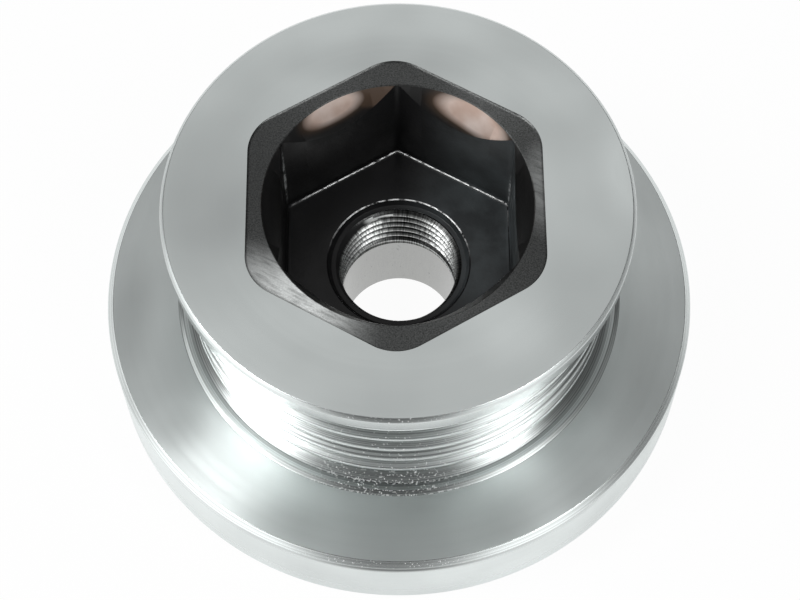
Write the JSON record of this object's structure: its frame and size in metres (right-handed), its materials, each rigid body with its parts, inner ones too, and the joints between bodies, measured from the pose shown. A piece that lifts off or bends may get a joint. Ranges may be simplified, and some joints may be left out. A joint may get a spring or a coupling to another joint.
{
  "type": "alternator pulley",
  "caption": "Turned steel alternator pulley: a ribbed belt track between a plain rim and a wide back flange, with a blackened hexagon socket over a threaded bore.",
  "frame": {"origin": "centre of the flange's back face, on which the pulley stands", "axes": "+Z along the axis from the flange towards the socket's mouth, two of the socket's corners along Y"},
  "size_m": [0.0848, 0.0848, 0.04],
  "materials": {
    "turned_steel": "bright turned outside, black as-forged inside the socket"
  },
  "bodies": {
    "root": {"pulley": "turned_steel"}
  },
  "joints": []
}
